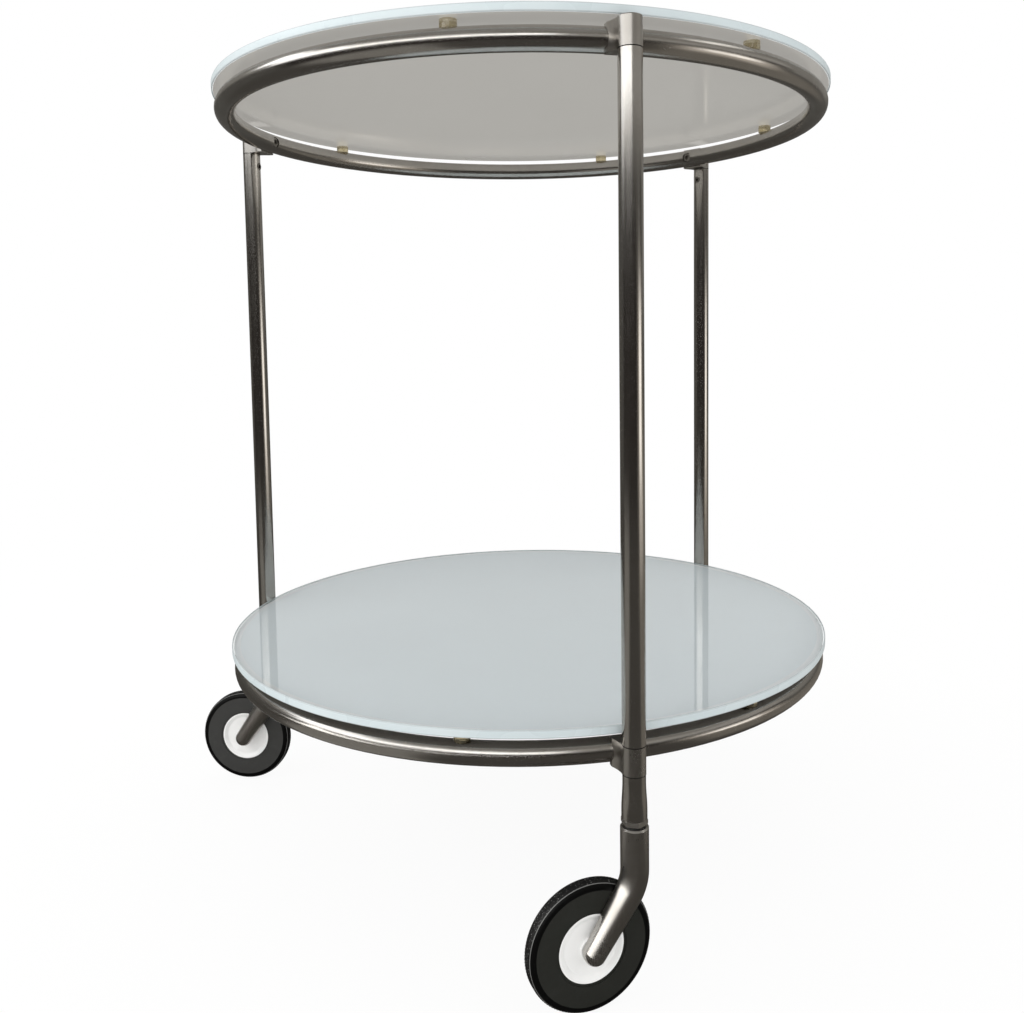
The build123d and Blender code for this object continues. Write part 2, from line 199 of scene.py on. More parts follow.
def makeMouldSkin():
    # slightly uneven skin of cast and moulded pieces
    tree, given, out = newGroup(
        "mouldSkin",
        [("Vector", "Vector", (0, 0, 0)), ("Wave", "Float", 90.0), ("Pore", "Float", 1500.0)],
        [("Height", "Float"), ("Tone", "Float")],
    )
    look, where = skinLook, given["Vector"]
    wave = noise(tree, where, given["Wave"], look["waveDetail"])[0]
    pore = noise(tree, where, given["Pore"], look["poreDetail"])[0]
    height = calc(tree, "ADD", calc(tree, "MULTIPLY", wave, look["waveShare"]),
                  calc(tree, "MULTIPLY", pore, look["poreShare"]))
    tree.links.new(height, out["Height"])
    tree.links.new(ramp(tree, wave, *look["tone"]), out["Tone"])
    return tree


speckLook = {"fade": 0.12}


def makePaleSpecks():
    # tiny light dots of grit pressed into rubber
    tree, given, out = newGroup(
        "paleSpecks",
        [("Vector", "Vector", (0, 0, 0)), ("Grain", "Float", 900.0), ("Share", "Float", 0.2)],
        [("Speck", "Float")],
    )
    cells = put(tree, "TexVoronoi", {"Vector": given["Vector"], "Scale": given["Grain"]}).outputs
    fadeTo = calc(tree, "ADD", given["Share"], speckLook["fade"])
    dot = ramp(tree, cells["Distance"], given["Share"], fadeTo, 1.0, 0.0)
    pick = put(tree, "SeparateXYZ", {0: cells["Color"]}).outputs["X"]
    tree.links.new(calc(tree, "MULTIPLY", dot, pick), out["Speck"])
    return tree


polishLines = makePolishLines()
handMarks = makeHandMarks()
settledDust = makeSettledDust()
mouldSkin = makeMouldSkin()
paleSpecks = makePaleSpecks()
print("shared effects:", len(bpy.data.node_groups))


def newFinish(name, **plain):
    material = bpy.data.materials.new(name)
    material.use_nodes = True
    tree = material.node_tree
    shader = tree.nodes["Principled BSDF"]
    for key, value in plain.items():
        shader.inputs[key].default_value = value
    where = put(tree, "TexCoord").outputs["Object"]
    return material, tree, shader, where


def setColour(tree, shader, mask, main, marked):
    tree.links.new(blendColour(tree, mask, main, marked), shader.inputs["Base Color"])


def setRoughness(tree, shader, level, *shares):
    # each share is a mask and how much it adds
    for mask, amount in shares:
        level = calc(tree, "ADD", calc(tree, "MULTIPLY", mask, amount), level)
    tree.links.new(level, shader.inputs["Roughness"])


def setBump(tree, shader, height, strength, distance):
    bump = put(tree, "Bump", {"Height": height, "Strength": strength, "Distance": distance})
    tree.links.new(bump.outputs[0], shader.inputs["Normal"])


nickelLook = {
    "clean": (0.54, 0.52, 0.492, 1), "handled": (0.475, 0.452, 0.42, 1),
    "ringRadius": 240.5 * mm,     # bend of the rings, round which their grain runs
    "smearSize": 14.0, "smearReach": 0.5,
    "grainRough": 0.10, "smearRough": 0.05, "scratchRough": 0.06,
    "grainShare": 0.35, "pore": 1800.0, "depth": 0.6 * mm,
}
nickelFinishes = {
    "ringNickel": {"lines": (2600.0, 2600.0, 22.0), "gloss": 0.13, "unroll": True},
    "legNickel": {"lines": (2600.0, 2600.0, 14.0), "gloss": 0.10},
    "castNickel": {"lines": (900.0, 900.0, 500.0), "gloss": 0.22, "wave": 110.0, "relief": 0.003,
                   "contrast": 0.3},
    "armNickel": {"lines": (900.0, 900.0, 200.0), "gloss": 0.22, "wave": 60.0, "relief": 0.005,
                  "contrast": 0.3},
    "collarNickel": {"lines": (1800.0, 1800.0, 200.0), "gloss": 0.32},
}


def unrollRing(tree, where):
    # lays the space along a ring, so that the grain follows its bend
    axes = put(tree, "SeparateXYZ", {0: where}).outputs
    angle = calc(tree, "ARCTAN2", axes["Y"], axes["X"])
    arc = calc(tree, "MULTIPLY", angle, nickelLook["ringRadius"])
    flat = put(tree, "CombineXYZ", {"X": axes["X"], "Y": axes["Y"]}).outputs[0]
    return put(tree, "CombineXYZ", {"X": lengthOf(tree, flat), "Y": axes["Z"], "Z": arc}).outputs[0]


def makeNickel(name, lines, gloss, unroll=False, wave=None, relief=0.12, contrast=1.4):
    # satin polished nickel plate
    material, tree, shader, where = newFinish(name, Metallic=1.0)
    look = nickelLook
    grainSpace = unrollRing(tree, where) if unroll else where
    grain = place(tree, polishLines, Vector=grainSpace, Stretch=lines, Contrast=contrast)["Lines"]
    marks = place(tree, handMarks, Vector=where, Size=look["smearSize"], Reach=look["smearReach"])
    setColour(tree, shader, marks["Smear"], look["clean"], look["handled"])
    setRoughness(tree, shader, gloss, (grain, look["grainRough"]), (marks["Smear"], look["smearRough"]),
                 (marks["Hairline"], look["scratchRough"]))
    height = calc(tree, "MULTIPLY", grain, look["grainShare"])
    if wave:
        uneven = place(tree, mouldSkin, Vector=where, Wave=wave, Pore=look["pore"])["Height"]
        height = calc(tree, "ADD", height, uneven)
    setBump(tree, shader, height, relief, look["depth"])
    return material


nickel = {name: makeNickel(name, **look) for name, look in nickelFinishes.items()}

screwLook = {
    "dark": (0.20, 0.185, 0.17, 1), "light": (0.34, 0.32, 0.295, 1),
    "lines": (900.0, 900.0, 900.0), "contrast": 1.6,
    "gloss": 0.28, "grainRough": 0.2, "relief": 0.15, "depth": 0.2 * mm,
}


def makeScrewSteel():
    look = screwLook
    material, tree, shader, where = newFinish("screwSteel", Metallic=1.0)
    grain = place(tree, polishLines, Vector=where, Stretch=look["lines"], Contrast=look["contrast"])["Lines"]
    setColour(tree, shader, grain, look["dark"], look["light"])
    setRoughness(tree, shader, look["gloss"], (grain, look["grainRough"]))
    setBump(tree, shader, grain, look["relief"], look["depth"])
    return material


screwSteel = makeScrewSteel()

glassLook = {
    "body": (0.955, 0.988, 0.986, 1), "ior": 1.52, "gloss": 0.008,
    "smearSize": 9.0, "smearReach": 0.42, "smearRough": 0.03,
}


def makeGlass():
    look = glassLook
    material, tree, shader, where = newFinish("floatGlass", **{
        "Base Color": look["body"], "Transmission Weight": 1.0, "IOR": look["ior"]})
    marks = place(tree, handMarks, Vector=where, Size=look["smearSize"], Reach=look["smearReach"])
    setRoughness(tree, shader, look["gloss"], (marks["Smear"], look["smearRough"]))
    return material


edgeLook = {"wave": 22.0, "pore": 2400.0, "gloss": 0.24, "toneRough": 0.12}
edgeFinishes = {
    "groundEdge": {"main": (0.585, 0.66, 0.682, 1), "cloud": (0.63, 0.70, 0.72, 1)},
    # the rounded arris is painted darker: painted shade for the dark line along the sheet's edge
    "arrisPaintedShade": {"main": (0.50, 0.55, 0.565, 1), "cloud": (0.55, 0.60, 0.615, 1)},
}


def makeGroundEdge(name, main, cloud):
    # finely ground edge of the sheet, which scatters light
    material, tree, shader, where = newFinish(name, IOR=glassLook["ior"])
    tone = place(tree, mouldSkin, Vector=where, Wave=edgeLook["wave"], Pore=edgeLook["pore"])["Tone"]
    setColour(tree, shader, tone, main, cloud)
    setRoughness(tree, shader, edgeLook["gloss"], (tone, edgeLook["toneRough"]))
    return material


coatLook = {"wave": 7.0, "pore": 900.0, "toneRough": 0.08, "through": (1.0, 0.97, 0.91, 1)}
coatFinishes = {
    "enamelFront": {"main": (0.875, 0.925, 0.952, 1), "cloud": (0.862, 0.91, 0.938, 1), "gloss": 0.5},
    # lighter band at the coat's rim: painted light from the sheet's edge
    "enamelRimPaintedLight": {"main": (0.97, 0.98, 0.99, 1), "cloud": (0.95, 0.965, 0.98, 1), "gloss": 0.5},
    # under the top sheet the coat is darker and glows: painted light in place of daylight through the coat
    "enamelBackPaintedGlow": {"main": (0.21, 0.205, 0.195, 1), "cloud": (0.20, 0.195, 0.185, 1), "gloss": 0.10,
                   "glow": 0.265},     # painted glow: the coat emits light of its own, standing in for daylight that comes through the coat
    # under the lower sheet the same dark coat without glow: a shaded copy of the top coat, painted shade
    "enamelShade": {"main": (0.21, 0.205, 0.195, 1), "cloud": (0.20, 0.195, 0.185, 1), "gloss": 0.14},
}


def makeEnamel(name, main, cloud, gloss, glow=None):
    # a glow given makes the coat emit light of its own, a painted glow and no lamp
    plain = {"Emission Color": coatLook["through"], "Emission Strength": glow} if glow else {}
    material, tree, shader, where = newFinish(name, **plain)
    tone = place(tree, mouldSkin, Vector=where, Wave=coatLook["wave"], Pore=coatLook["pore"])["Tone"]
    setColour(tree, shader, tone, main, cloud)
    setRoughness(tree, shader, gloss, (tone, coatLook["toneRough"]))
    return material


floatGlass = makeGlass()
glassEdge = {name: makeGroundEdge(name, **look) for name, look in edgeFinishes.items()}
enamel = {name: makeEnamel(name, **look) for name, look in coatFinishes.items()}
backOf = {"top_glass": enamel["enamelBackPaintedGlow"], "lower_glass": enamel["enamelShade"]}

padLook = {
    "main": (0.58, 0.51, 0.34, 1), "deep": (0.38, 0.31, 0.17, 1),
    "clear": 0.85, "ior": 1.46, "wave": 260.0, "pore": 2200.0,
    "gloss": 0.16, "toneRough": 0.15, "relief": 0.1, "depth": 0.3 * mm,
}


def makePadAmber():
    look = padLook
    material, tree, shader, where = newFinish("padAmber", **{
        "Transmission Weight": look["clear"], "IOR": look["ior"]})
    skin = place(tree, mouldSkin, Vector=where, Wave=look["wave"], Pore=look["pore"])
    setColour(tree, shader, skin["Tone"], look["main"], look["deep"])
    setRoughness(tree, shader, look["gloss"], (skin["Tone"], look["toneRough"]))
    setBump(tree, shader, skin["Height"], look["relief"], look["depth"])
    return material


padAmber = makePadAmber()

plasticLook = {
    "wave": 160.0, "pore": 2600.0, "dustGrain": 1400.0,
    "smearSize": 60.0, "smearReach": 0.4, "smearShare": 0.6,
    "toneRough": 0.08, "relief": 0.12, "depth": 0.3 * mm,
}
treadGrit = {"grain": 800.0, "share": 0.16, "colour": (0.30, 0.30, 0.295, 1)}
plasticFinishes = {
    "hubWhite": {"main": (0.92, 0.92, 0.91, 1), "marked": (0.84, 0.84, 0.83, 1), "gloss": 0.34,
                 "dust": 0.2},
    # near-black rings laid in the leg seams: painted shadow
    "seamShadow": {"main": (0.010, 0.009, 0.008, 1), "marked": (0.02, 0.018, 0.016, 1), "gloss": 0.7,
                   "dust": 0.1, "shine": 0.1},
    "bushBlack": {"main": (0.012, 0.012, 0.012, 1), "marked": (0.03, 0.03, 0.028, 1), "gloss": 0.45,
                  "dust": 0.2},
    "treadRubber": {"main": (0.006, 0.006, 0.006, 1), "marked": (0.03, 0.03, 0.029, 1), "gloss": 0.5,
                    "dust": 0.5, "shine": 0.3, "grit": treadGrit},
    "shoulderRubber": {"main": (0.0025, 0.0025, 0.0025, 1), "marked": (0.006, 0.006, 0.006, 1),
                       "gloss": 0.35, "dust": 0.1, "shine": 0.12},
    "sidewallRubber": {"main": (0.0178, 0.0187, 0.015, 1), "marked": (0.026, 0.026, 0.023, 1), "gloss": 0.62,
                       "dust": 0.3, "shine": 0.35},
    # a lighter copy of the sidewall for the left wheel: painted light
    "sidewallPaintedLight": {"main": (0.041, 0.041, 0.039, 1), "marked": (0.055, 0.055, 0.053, 1), "gloss": 0.62,
                      "dust": 0.3, "shine": 0.35},
    # lighter grey band before the tread: a painted highlight along the tyre's edge
    "beadPaintedHighlight": {"main": (0.16, 0.16, 0.155, 1), "marked": (0.24, 0.24, 0.235, 1), "gloss": 0.5,
                   "dust": 0.4},
}


def makePlastic(name, main, marked, gloss, dust, shine=0.5, grit=None):
    look = plasticLook
    material, tree, shader, where = newFinish(name, **{"Specular IOR Level": shine})
    skin = place(tree, mouldSkin, Vector=where, Wave=look["wave"], Pore=look["pore"])
    marks = place(tree, handMarks, Vector=where, Size=look["smearSize"], Reach=look["smearReach"])
    settled = place(tree, settledDust, Vector=where, Grain=look["dustGrain"], Amount=dust)["Dust"]
    stain = calc(tree, "MULTIPLY", marks["Smear"], look["smearShare"])
    colour = blendColour(tree, calc(tree, "MAXIMUM", stain, settled), main, marked)
    if grit:
        speck = place(tree, paleSpecks, Vector=where, Grain=grit["grain"], Share=grit["share"])["Speck"]
        colour = blendColour(tree, speck, colour, grit["colour"])
    tree.links.new(colour, shader.inputs["Base Color"])
    setRoughness(tree, shader, gloss, (skin["Tone"], look["toneRough"]))
    setBump(tree, shader, skin["Height"], look["relief"], look["depth"])
    return material


plastic = {name: makePlastic(name, **look) for name, look in plasticFinishes.items()}
sidewallOf = {
    "front": plastic["sidewallRubber"], "right": plastic["sidewallRubber"],
    "left": plastic["sidewallPaintedLight"],     # this wheel's sidewall is painted lighter: painted light where more light falls on it
}
print("finishes:", len(bpy.data.materials))

finishOf = {
    "top_ring": nickel["ringNickel"], "lower_ring": nickel["ringNickel"],
    "leg": nickel["legNickel"], "stem_sleeve": nickel["legNickel"], "stem_bolt": nickel["collarNickel"],
    "top_connector": nickel["castNickel"], "lower_connector": nickel["castNickel"],
    "caster_arm": nickel["armNickel"], "axle": nickel["legNickel"], "axle_cap": nickel["legNickel"],
    "leg_insert": screwSteel, "top_ring_screws": screwSteel, "lower_ring_screws": screwSteel,
    "leg_set_screws": screwSteel, "swivel_clips": screwSteel,
    "top_pads": padAmber, "lower_pads": padAmber,
    "swivel_bush": plastic["bushBlack"], "wheel_hub": plastic["hubWhite"], "tyre": plastic["sidewallRubber"],
    "top_glass": floatGlass, "lower_glass": floatGlass,
}
for name, node in nodes.items():
    key = name
    for corner in corners:
        key = key.removeprefix(corner + "_")
    node.data.materials.clear()
    node.data.materials.append(finishOf[key])
print("finishes on", len(nodes), "CAD nodes")


def addMesh(name, verts, faces, *finishes):
    mesh = bpy.data.meshes.new(name)
    mesh.from_pydata(verts, [], faces)
    for finish in finishes:
        mesh.materials.append(finish)
    item = bpy.data.objects.new(name, mesh)
    bpy.context.scene.collection.objects.link(item)
    return item


def turnPiece(name, profile, steps, finishes, closed=True, smoothAngle=30.0, shift=None):
    # profile holds (radius, height, finish index of the strip that starts here)
    # an open profile starts and ends on the axis
    verts, faces, slots, smooth = [], [], [], []
    ringRows = profile if closed else profile[1:-1]
    rows = len(ringRows)
    for step in range(steps):
        angle = 2 * math.pi * step / steps
        for row, (radius, height, _) in enumerate(ringRows):
            reach = radius + (shift(step, row) if shift else 0.0)
            verts.append((reach * math.cos(angle), reach * math.sin(angle), height))
    for step in range(steps):
        here, after = step * rows, (step + 1) % steps * rows
        for row in range(rows if closed else rows - 1):
            nextRow = (row + 1) % rows
            faces.append((here + row, after + row, after + nextRow, here + nextRow))
            slots.append(ringRows[row][2])
            smooth.append(ringRows[row][1] != ringRows[nextRow][1])   # level faces stay flat
        if not closed:
            foot, top = steps * rows, steps * rows + 1
            faces += [(foot, after, here), (top, here + rows - 1, after + rows - 1)]
            slots += [profile[0][2], ringRows[-1][2]]
            smooth += [False, False]
    if not closed:
        verts += [(0.0, 0.0, profile[0][1]), (0.0, 0.0, profile[-1][1])]
    piece = addMesh(name, verts, faces, *finishes)
    mesh = piece.data
    mesh.polygons.foreach_set("material_index", slots)
    mesh.set_sharp_from_angle(angle=math.radians(smoothAngle))
    mesh.polygons.foreach_set("use_smooth", smooth)
    mesh.validate()
    return piece


glassSheet = {
    "radius": 250.0 * mm,
    "arris": 0.8 * mm,
    "paint": 0.3 * mm,            # thickness of the enamel under the sheet
    "paintEdge": 0.04 * mm,
    "sunk": 0.1 * mm,             # enamel that lies inside the sheet, so that no air shows between them
    "paintRadius": {"top_glass": 248.6 * mm, "lower_glass": 248.4 * mm},
    "rimWidth": 5.0 * mm,         # outer band of the enamel, painted lighter as painted light coming in at the sheet's edge
    "rings": (0.25, 0.5, 0.75),   # shares of the radius that divide the flat faces
    "steps": 720, "roundSteps": 5, "smoothAngle": 25.0,
}


def levelRings(radius, height, finish):
    # rows of a level face from the axis outwards
    return [(0.0, height, finish)] + [(radius * share, height, finish) for share in glassSheet["rings"]]


def buildSheet(node, foot, top):
    clear, ground, rounded = range(3)
    radius, arris, roundSteps = glassSheet["radius"], glassSheet["arris"], glassSheet["roundSteps"]
    profile = levelRings(radius, foot, clear)
    for centreZ, start in ((foot + arris, -90.0), (top - arris, 0.0)):
        for step in range(roundSteps + 1):
            angle = math.radians(start + 90.0 * step / roundSteps)
            reach, height = radius - arris + arris * math.cos(angle), centreZ + arris * math.sin(angle)
            profile.append((reach, height, rounded if step < roundSteps else ground))
    profile[-1] = (radius - arris, top, clear)
    profile += levelRings(radius, top, clear)[::-1]
    finishes = [floatGlass, glassEdge["groundEdge"], glassEdge["arrisPaintedShade"]]
    return turnPiece(node + "_sheet", profile, glassSheet["steps"], finishes, False,
                     glassSheet["smoothAngle"])


def buildEnamel(node, foot):
    front, back, rim = range(3)
    radius, edge, top = glassSheet["paintRadius"][node], glassSheet["paintEdge"], foot + glassSheet["paint"]
    profile = levelRings(radius, foot, back) + [(radius - edge, foot, back), (radius, foot + edge, back)]
    profile += [(radius, top - edge, rim), (radius - edge, top, rim)]
    profile.append((radius - glassSheet["rimWidth"], top, front))
    profile += levelRings(radius, top, front)[::-1]
    finishes = [enamel["enamelFront"], backOf[node], enamel["enamelRimPaintedLight"]]
    return turnPiece(node + "_enamel", profile, glassSheet["steps"], finishes, False)


def buildShelf(node):
    low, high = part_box(node)
    sheetFoot = low.z + glassSheet["paint"] - glassSheet["sunk"]
    for piece in (buildSheet(node, sheetFoot, high.z), buildEnamel(node, low.z)):
        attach(piece, "frame")
        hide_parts(node)


for node in ("top_glass", "lower_glass"):
    buildShelf(node)
print("glass shelves built")

seamLine = {"height": 0.55 * mm, "depth": 0.7 * mm, "proud": 0.03 * mm, "steps": 96}


def buildSeams(corner):
    # thin dark ring where two pieces of a leg meet: painted shadow in the gap between them
    legLow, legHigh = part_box(corner + "_leg")
    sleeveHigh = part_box(corner + "_stem_sleeve")[1]
    middle, radius, half = (legLow + legHigh) / 2, (legHigh.x - legLow.x) / 2, seamLine["height"] / 2
    inner, outer = radius - seamLine["depth"], radius + seamLine["proud"]
    rows = [(inner, -half, 0), (outer, -half, 0), (outer, half, 0), (inner, half, 0)]
    for name, height in (("leg_top", legHigh.z), ("leg_foot", legLow.z), ("sleeve_top", sleeveHigh.z)):
        seam = turnPiece(f"{corner}_{name}_seam", rows, seamLine["steps"], [plastic["seamShadow"]])
        seam.data.transform(Matrix.Translation((middle.x, middle.y, height)))
        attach(seam, "frame")


for corner in corners:
    buildSeams(corner)
print("seam lines built")

tyreShape = {     # millimetres and counts
    "radius": 42.5, "halfWidth": 5.5,
    "shoulderHeight": 5.0, "shoulderWidth": 3.0, "shoulderBulge": 1.0, "shoulderSteps": 7,
    "seat": 22.35, "stepWidth": 1.8, "stepDepth": 0.5, "sideRows": 6,
    "ribHeight": 3.0, "ribHalf": 3.05,
    "beadAt": 0.66, "beadShare": 0.07,         # painted light line, a painted highlight, before the tread, as shares of the shoulder's arc
    "grooveShare": 0.02, "grooveSink": 0.12,   # groove beside the light line
    "lipShare": 0.14, "lipSink": 0.05,         # lip where the tread starts
    "treadRows": 7, "treadDepth": 0.25,
    "steps": 480, "cell": 2, "smoothAngle": 40.0,
}


def buildTyre(corner):
    shape = tyreShape
    half, radius = shape["halfWidth"], shape["radius"]
    flat = radius - shape["shoulderHeight"]
    treadHalf = half - shape["shoulderWidth"]
    seat, step = shape["seat"], shape["seat"] + shape["stepWidth"]
    inner = half - shape["stepDepth"]
    # shoulder arc from the sidewall (share 0) to the tread (share 1)
    slant = math.hypot(shape["shoulderHeight"], shape["shoulderWidth"])
    rise = shape["shoulderBulge"]
    arcRadius = (slant ** 2 / 4 + rise ** 2) / (2 * rise)
    outR, outW = shape["shoulderWidth"] / slant, shape["shoulderHeight"] / slant
    centreR = radius - shape["shoulderHeight"] / 2 - (arcRadius - rise) * outR
    centreW = half - shape["shoulderWidth"] / 2 - (arcRadius - rise) * outW
    start = math.atan2(half - centreW, flat - centreR)
    end = math.atan2(treadHalf - centreW, radius - centreR)

    def onArc(share, sink=0.0):
        angle, reach = start + (end - start) * share, arcRadius - sink
        return centreR + reach * math.cos(angle), centreW + reach * math.sin(angle)

    tread, shoulder, side, bead = range(4)
    ribTop = seat + shape["ribHeight"]
    rows = [(ribTop, shape["ribHalf"], side), (seat, shape["ribHalf"], side), (seat, inner, side),
            (step, inner, side), (step, half, side)]
    for row in range(1, shape["sideRows"]):
        rows.append((step + (flat - step) * row / shape["sideRows"], half, side))
    beadFrom, beadTo = shape["beadAt"], shape["beadAt"] + shape["beadShare"]
    for row in range(shape["shoulderSteps"]):
        rows.append((*onArc(beadFrom * row / shape["shoulderSteps"]), shoulder))
    rows.append((*onArc(beadFrom), bead))
    rows.append((*onArc(beadTo), bead))
    firstTread = len(rows)
    rows.append((*onArc(beadTo + shape["grooveShare"], shape["grooveSink"]), tread))
    rows.append((*onArc(beadTo + shape["lipShare"], shape["lipSink"]), tread))
    for row in range(shape["treadRows"]):
        rows.append((radius, treadHalf - treadHalf * row / (shape["treadRows"] - 1), tread))
    # the far half mirrors the near half; each strip keeps the finish of its own rows
    far = [(r, -w, rows[index - 1][2]) for index, (r, w, _) in enumerate(rows)][-2::-1]
    far[-1] = (*far[-1][:2], side)
    profile = [(r * mm, w * mm, finish) for r, w, finish in rows + far]
    lastTread = len(profile) - 1 - firstTread

    def knurl(stepIndex, row):
        if not firstTread + 1 <= row <= lastTread - 1:
            return 0.0
        return 0.0 if (stepIndex // shape["cell"] + row) % 2 else -shape["treadDepth"] * mm

    finishes = [plastic["treadRubber"], plastic["shoulderRubber"], sidewallOf[corner], plastic["beadPaintedHighlight"]]
    tyre = turnPiece(corner + "_tyre_rubber", profile, shape["steps"], finishes,
                     smoothAngle=shape["smoothAngle"], shift=knurl)
    joint = joints[corner + "_roll"]
    axis = Vector(joint["axis"]).normalized()
    turn = axis.to_track_quat("Z", "Y").to_matrix().to_4x4()
    tyre.data.transform(Matrix.Translation(Vector(joint["pos_m"])) @ turn)
    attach(tyre, corner + "_wheel")
    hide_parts(corner + "_tyre")


for corner in corners:
    buildTyre(corner)
print("tyres built")

studio = {
    "ambient": 0.95,
    "aim": (0.0, 0.0, 0.40),
    "floorColour": (0.92, 0.92, 0.91, 1), "floorRough": 0.9,
    "floorRadius": 9.0, "floorSides": 96,
    "floorWhite": 0.93,           # share of plain white that the camera sees on the floor near the trolley
    "floorFade": (0.5, 1.6),      # metres from the middle over which that share grows to all white
}
softboxes = {
    "leftWindow": {"azimuth": -80.0, "elevation": 28.0, "distance": 2.4, "size": (2.4, 1.3),
                   "radiance": 2.4, "colour": (1.0, 0.99, 0.975)},
    "rightWindow": {"azimuth": 70.0, "elevation": 30.0, "distance": 2.4, "size": (1.8, 1.2),
                    "radiance": 1.3, "colour": (1.0, 0.97, 0.94)},
}


def around(azimuth, elevation, distance):
    a, e = math.radians(azimuth), math.radians(elevation)
    return Vector((math.sin(a) * math.cos(e), -math.cos(a) * math.cos(e), math.sin(e))) * distance


def seenPlainly(tree):
    # rays that meet plain white: the camera's own, and those off metal and through glass
    seen = put(tree, "LightPath").outputs
    plain = calc(tree, "MAXIMUM", seen["Is Camera Ray"], seen["Is Glossy Ray"])
    return calc(tree, "MAXIMUM", plain, seen["Is Transmission Ray"])


def setSurface(material, shader):
    tree = material.node_tree
    tree.links.new(shader.outputs[0], tree.nodes["Material Output"].inputs["Surface"])
    material.cycles.emission_sampling = "NONE"


def buildWorld():
    world = bpy.data.worlds.new("studioWorld")
    bpy.context.scene.world = world
    world.use_nodes = True
    tree = world.node_tree
    level = studio["ambient"]
    colour = blendColour(tree, seenPlainly(tree), (level, level, level, 1), (1, 1, 1, 1))
    tree.links.new(colour, tree.nodes["Background"].inputs["Color"])


def buildFloor():
    material, tree, shader, where = newFinish("paleFloor", **{
        "Base Color": studio["floorColour"], "Roughness": studio["floorRough"], "Specular IOR Level": 0.0})
    share = ramp(tree, lengthOf(tree, where), *studio["floorFade"], studio["floorWhite"], 1.0)
    white = put(tree, "Emission", {"Color": (1, 1, 1, 1), "Strength": 1.0})
    whiteShare = calc(tree, "MULTIPLY", seenPlainly(tree), share)
    setSurface(material, put(tree, "MixShader", {0: whiteShare, 1: shader.outputs[0], 2: white.outputs[0]}))
    sides = studio["floorSides"]
    verts = [around(360.0 * step / sides, 0.0, studio["floorRadius"]) for step in range(sides)]
    floor = addMesh("studio_floor", verts, [range(sides)], material)


def buildSoftboxes():
    for name, box in softboxes.items():
        lamp = bpy.data.lights.new(name, "AREA")
        lamp.shape = "RECTANGLE"
        lamp.size, lamp.size_y = box["size"]
        lamp.energy = box["radiance"] * math.pi * box["size"][0] * box["size"][1]
        lamp.color = box["colour"]
        item = bpy.data.objects.new(name, lamp)
        item.location = Vector(studio["aim"]) + around(box["azimuth"], box["elevation"], box["distance"])
        item.rotation_euler = (item.location - Vector(studio["aim"])).to_track_quat("Z", "Y").to_euler()
        item.visible_camera = item.visible_glossy = False
        bpy.context.scene.collection.objects.link(item)


room = {
    "radius": 4.0, "steps": 96, "rise": 24,
    "lift": 0.4 * mm,         # its floor lies this far above the studio floor
    "pole": 1.0 * mm,         # radius of the small holes in the middle of its floor and top
    "floor": (0.078, 0.073, 0.066, 1), "wall": (0.10, 0.096, 0.088, 1),
    "wallHigh": (0.25, 0.24, 0.22, 1), "ceiling": (0.32, 0.315, 0.30, 1),
    "floorTo": (-16.0, -8.0), "highFrom": (10.0, 16.0), "ceilingFrom": (42.0, 54.0),   # elevations, degrees
    "behind": -158.0,         # azimuth where the panels' count of degrees starts
    "panels": {
        "frontDark": {"azimuth": (-100.0, 32.0), "elevation": (-13.0, 9.0), "soft": 4.0,
                      "colour": (0.035, 0.031, 0.028, 1)},
        "leftFloor": {"azimuth": (-92.0, -44.0), "elevation": (-62.0, -14.0), "soft": 5.0,
                      "colour": (0.27, 0.26, 0.24, 1)},
        "rightFloor": {"azimuth": (33.0, 125.0), "elevation": (-50.0, -6.0), "soft": 6.0,
                       "colour": (0.21, 0.194, 0.17, 1)},
        "rightWall": {"azimuth": (86.0, 128.0), "elevation": (2.0, 36.0), "soft": 5.0,
                      "colour": (0.26, 0.25, 0.23, 1)},
        "frontWall": {"azimuth": (2.0, 90.0), "elevation": (13.0, 30.0), "soft": 3.0,
                      "colour": (0.42, 0.405, 0.38, 1)},
        "rightDark": {"azimuth": (62.0, 88.0), "elevation": (4.0, 11.0), "soft": 3.0,
                      "colour": (0.06, 0.055, 0.05, 1)},
        "rightGlow": {"azimuth": (38.0, 80.0), "elevation": (-17.0, 3.0), "soft": 4.0,
                      "colour": (0.62, 0.565, 0.50, 1)},
        "rightDoor": {"azimuth": (47.0, 70.0), "elevation": (-9.0, 2.0), "soft": 2.5,
                      "colour": (2.0, 1.92, 1.8, 1)},
        "rightLamp": {"azimuth": (58.0, 86.0), "elevation": (41.0, 49.0), "soft": 3.0,
                      "colour": (1.9, 1.87, 1.8, 1)},
        "leftHigh": {"azimuth": (-80.0, -25.0), "elevation": (25.0, 35.0), "soft": 4.0,
                     "colour": (0.9, 0.9, 0.89, 1)},
        "leftWindow": {"azimuth": (-107.0, -77.0), "elevation": (13.5, 36.0), "soft": 3.0,
                       "colour": (2.2, 2.21, 2.23, 1)},
        "leftPane": {"azimuth": (-122.0, -103.0), "elevation": (24.0, 42.0), "soft": 3.0,
                     "colour": (3.0, 3.02, 3.05, 1)},
        "frontWindow": {"azimuth": (-80.0, -3.0), "elevation": (14.8, 25.0), "soft": 2.8,
                        "colour": (3.0, 3.0, 2.97, 1)},
        "backWall": {"azimuth": (142.0, 192.0), "elevation": (8.0, 44.0), "soft": 6.0,
                     "colour": (0.78, 0.77, 0.755, 1)},
    },
}


def between(tree, value, span, soft):
    low, high = (math.radians(edge) for edge in span)
    soft = math.radians(soft)
    return calc(tree, "MULTIPLY", ramp(tree, value, low - soft, low + soft),
                ramp(tree, value, high - soft, high + soft, 1.0, 0.0))


